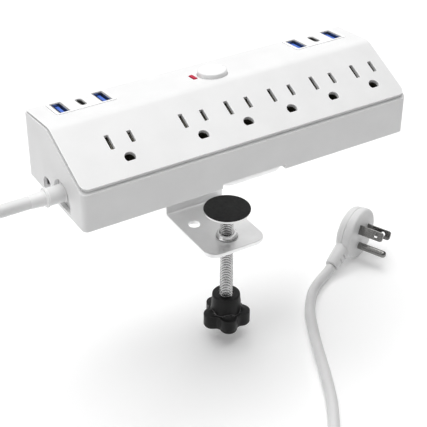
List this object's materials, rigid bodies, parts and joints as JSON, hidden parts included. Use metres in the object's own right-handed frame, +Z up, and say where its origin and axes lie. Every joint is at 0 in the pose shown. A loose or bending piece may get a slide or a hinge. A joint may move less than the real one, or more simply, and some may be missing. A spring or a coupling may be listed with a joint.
{
  "type": "desk power strip",
  "caption": "Clamp-on desk power strip: slanted row of grounded outlets, USB modules and a power button on its deck, a C-shaped desk clamp with a hand screw, and a cord with a flat round plug.",
  "frame": {"origin": "centre of the strip's underside, in the plane that rests on the desk top", "axes": "+X along the strip away from the cord, -Y towards the slanted outlet panel, +Z up out of the top deck"},
  "size_m": [0.324, 0.1854, 0.1756],
  "materials": {
    "housing_white": "fine matt moulded shell",
    "port_white": "satin moulding",
    "indicator_red": "clear red lens",
    "usb_steel": "plated sheet",
    "usb_blue": "moulded tongue",
    "board_green": "laminate",
    "varistor_blue": "dipped coating",
    "switch_black": "moulded body",
    "contact_brass": "stamped strip",
    "wire_dark": "insulated wire",
    "fastener_steel": "zinc plated",
    "bracket_steel": "satin sheet",
    "screw_zinc": "bright zinc",
    "knob_black": "fine matt moulding",
    "pad_rubber": "ribbed rubber",
    "cord_white": "soft jacket",
    "tie_black": "woven strap",
    "plug_white": "soft moulded plug",
    "blade_nickel": "plated brass"
  },
  "bodies": {
    "strip": {"bottom_housing": "housing_white", "top_cover": "housing_white", "cord_grommet": "housing_white", "usb_bezel_1": "port_white", "usb_bezel_2": "port_white", "indicator_lens": "indicator_red", "usb_a_shell_1a": "usb_steel", "usb_a_shell_1b": "usb_steel", "usb_a_shell_2a": "usb_steel", "usb_a_shell_2b": "usb_steel", "usb_c_port_1": "usb_steel", "usb_c_port_2": "usb_steel", "usb_a_tongue_1a": "usb_blue", "usb_a_tongue_1b": "usb_blue", "usb_a_tongue_2a": "usb_blue", "usb_a_tongue_2b": "usb_blue", "usb_board_1": "board_green", "usb_board_2": "board_green", "surge_board": "board_green", "varistor_1": "varistor_blue", "varistor_2": "varistor_blue", "varistor_3": "varistor_blue", "switch_body": "switch_black", "line_bus": "contact_brass", "neutral_bus": "contact_brass", "ground_bus": "contact_brass", "wire_line_in": "wire_dark", "wire_neutral_in": "wire_dark", "wire_ground_in": "wire_dark", "wire_line_out": "wire_dark", "wire_neutral_out": "wire_dark", "housing_screw_1": "fastener_steel", "housing_screw_2": "fastener_steel", "housing_screw_3": "fastener_steel", "housing_screw_4": "fastener_steel", "bracket_screw_1": "fastener_steel", "bracket_screw_2": "fastener_steel", "clamp_bracket": "bracket_steel", "threaded_boss": "screw_zinc", "cord_lead": "cord_white", "cord_coil": "cord_white", "cord_tail": "cord_white", "coil_tie": "tie_black", "plug_body": "plug_white", "plug_blade_line": "blade_nickel", "plug_blade_neutral": "blade_nickel", "plug_ground_pin": "blade_nickel"},
    "power_key": {"power_button": "port_white"},
    "clamp_pad": {"pad_rubber": "pad_rubber", "pad_plate": "bracket_steel"},
    "clamp_spindle": {"clamp_screw": "screw_zinc", "clamp_knob": "knob_black"}
  },
  "joints": [
    {"name": "button_press", "type": "slide", "parent": "strip", "child": "power_key", "axis": [0, -0.0995, -0.995], "range_m": [0, 0.0018], "stiffness_N_per_m": 350, "springref_m": -0.0006},
    {"name": "pad_travel", "type": "slide", "parent": "strip", "child": "clamp_pad", "axis": [0, 0, 1], "range_m": [-0.0095, 0.0345]},
    {"name": "spindle_turn", "type": "hinge", "parent": "clamp_pad", "child": "clamp_spindle", "pos_m": [0, -0.006, -0.06], "axis": [0, 0, 1], "range_deg": [-2737, 9937]}
  ],
  "couplings": [
    {"joint": "spindle_turn", "follows": "pad_travel", "rad_per_m": 5026.5}
  ]
}
